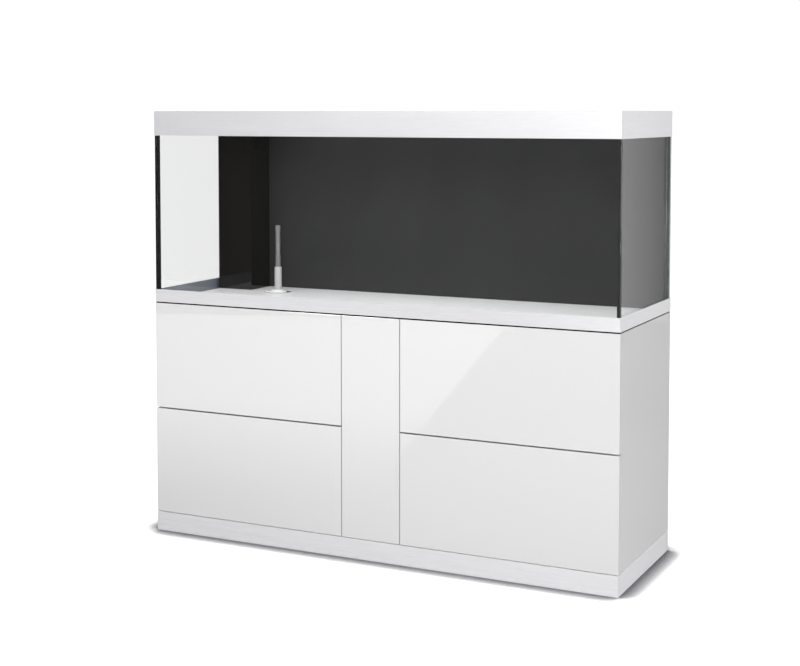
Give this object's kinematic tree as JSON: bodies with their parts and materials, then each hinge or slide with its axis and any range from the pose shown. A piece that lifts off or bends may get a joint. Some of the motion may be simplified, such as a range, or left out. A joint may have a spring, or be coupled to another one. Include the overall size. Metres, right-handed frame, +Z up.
{
  "type": "aquarium on stand",
  "caption": "Glass aquarium with metal hood and tray bands and a black corner overflow shaft, on a handleless white cabinet with push-to-open drawers and a middle pull-out.",
  "frame": {"origin": "on the floor, under the centre of the footprint", "axes": "+X to the right along the long front, +Y from the front to the rear, +Z up"},
  "size_m": [1.5, 0.487, 1.311],
  "materials": {
    "brushed_aluminium": "brushed along its length, satin, anodised",
    "light_housing": "anodised satin with a frosted diffuser strip underneath",
    "gloss_white": "white high-gloss lacquered board",
    "flap_white": "white semi-gloss panel",
    "carcass_white": "white melamine-faced board, fine satin texture",
    "rack_metal": "white powder coat",
    "zinc_steel": "zinc plated, satin",
    "clear_glass": "clear float glass, polished edges",
    "base_glass": "float glass, blacked out at the edge",
    "black_gloss": "black acrylic, polished",
    "black_foam": "closed-cell foam, matt",
    "floor_white": "white sheet, satin",
    "grey_plastic": "moulded grey plastic",
    "white_plastic": "moulded light grey-white plastic",
    "rubber": "black rubber, matt"
  },
  "bodies": {
    "stand_and_tank": {"hood_front": "brushed_aluminium", "hood_rear": "brushed_aluminium", "hood_left": "brushed_aluminium", "hood_right": "brushed_aluminium", "tray_front": "brushed_aluminium", "tray_rear": "brushed_aluminium", "tray_left": "brushed_aluminium", "tray_right": "brushed_aluminium", "plinth_front": "brushed_aluminium", "plinth_rear": "brushed_aluminium", "plinth_left": "brushed_aluminium", "plinth_right": "brushed_aluminium", "light_bar_front": "light_housing", "light_bar_rear": "light_housing", "side_panel_left": "gloss_white", "side_panel_right": "gloss_white", "base_board": "carcass_white", "top_board": "carcass_white", "divider_left": "carcass_white", "divider_right": "carcass_white", "back_panel_left": "carcass_white", "back_panel_right": "carcass_white", "pullout_runner": "zinc_steel", "runner_lower_left_inner": "zinc_steel", "runner_lower_left_outer": "zinc_steel", "runner_lower_right_inner": "zinc_steel", "runner_lower_right_outer": "zinc_steel", "runner_upper_left_inner": "zinc_steel", "runner_upper_left_outer": "zinc_steel", "runner_upper_right_inner": "zinc_steel", "runner_upper_right_outer": "zinc_steel", "front_pane": "clear_glass", "rear_pane": "clear_glass", "left_pane": "clear_glass", "right_pane": "clear_glass", "bottom_pane": "base_glass", "rear_panel": "black_gloss", "shaft_front_panel": "black_gloss", "shaft_side_panel": "black_gloss", "support_mat": "black_foam", "floor_sheet": "floor_white", "riser_upper_tube": "grey_plastic", "riser_nut": "grey_plastic", "overflow_pipe": "grey_plastic", "riser_flange": "white_plastic", "riser_disc": "white_plastic", "riser_lower_tube": "white_plastic", "riser_gasket": "rubber"},
    "drawer_lower_left": {"drawer_front_lower_left": "gloss_white", "drawer_box_lower_left": "carcass_white"},
    "drawer_lower_right": {"drawer_front_lower_right": "gloss_white", "drawer_box_lower_right": "carcass_white"},
    "drawer_upper_left": {"drawer_front_upper_left": "gloss_white", "drawer_box_upper_left": "carcass_white"},
    "drawer_upper_right": {"drawer_front_upper_right": "gloss_white", "drawer_box_upper_right": "carcass_white"},
    "pullout": {"pullout_front": "gloss_white", "pullout_rack": "rack_metal"},
    "flap_left": {"hood_flap_left": "flap_white"},
    "flap_right": {"hood_flap_right": "flap_white"}
  },
  "joints": [
    {"name": "drawer_slide_lower_left", "type": "slide", "parent": "stand_and_tank", "child": "drawer_lower_left", "axis": [0, -1, 0], "range_m": [-0.002, 0.22]},
    {"name": "drawer_slide_lower_right", "type": "slide", "parent": "stand_and_tank", "child": "drawer_lower_right", "axis": [0, -1, 0], "range_m": [-0.002, 0.22]},
    {"name": "drawer_slide_upper_left", "type": "slide", "parent": "stand_and_tank", "child": "drawer_upper_left", "axis": [0, -1, 0], "range_m": [-0.002, 0.22]},
    {"name": "drawer_slide_upper_right", "type": "slide", "parent": "stand_and_tank", "child": "drawer_upper_right", "axis": [0, -1, 0], "range_m": [-0.002, 0.22]},
    {"name": "pullout_slide", "type": "slide", "parent": "stand_and_tank", "child": "pullout", "axis": [0, -1, 0], "range_m": [-0.002, 0.22]},
    {"name": "hood_flap_hinge_left", "type": "hinge", "parent": "stand_and_tank", "child": "flap_left", "pos_m": [-0.374, 0.2355, 1.3068], "axis": [-1, 0, 0], "range_deg": [0, 95]},
    {"name": "hood_flap_hinge_right", "type": "hinge", "parent": "stand_and_tank", "child": "flap_right", "pos_m": [0.374, 0.2355, 1.3068], "axis": [-1, 0, 0], "range_deg": [0, 95]}
  ]
}
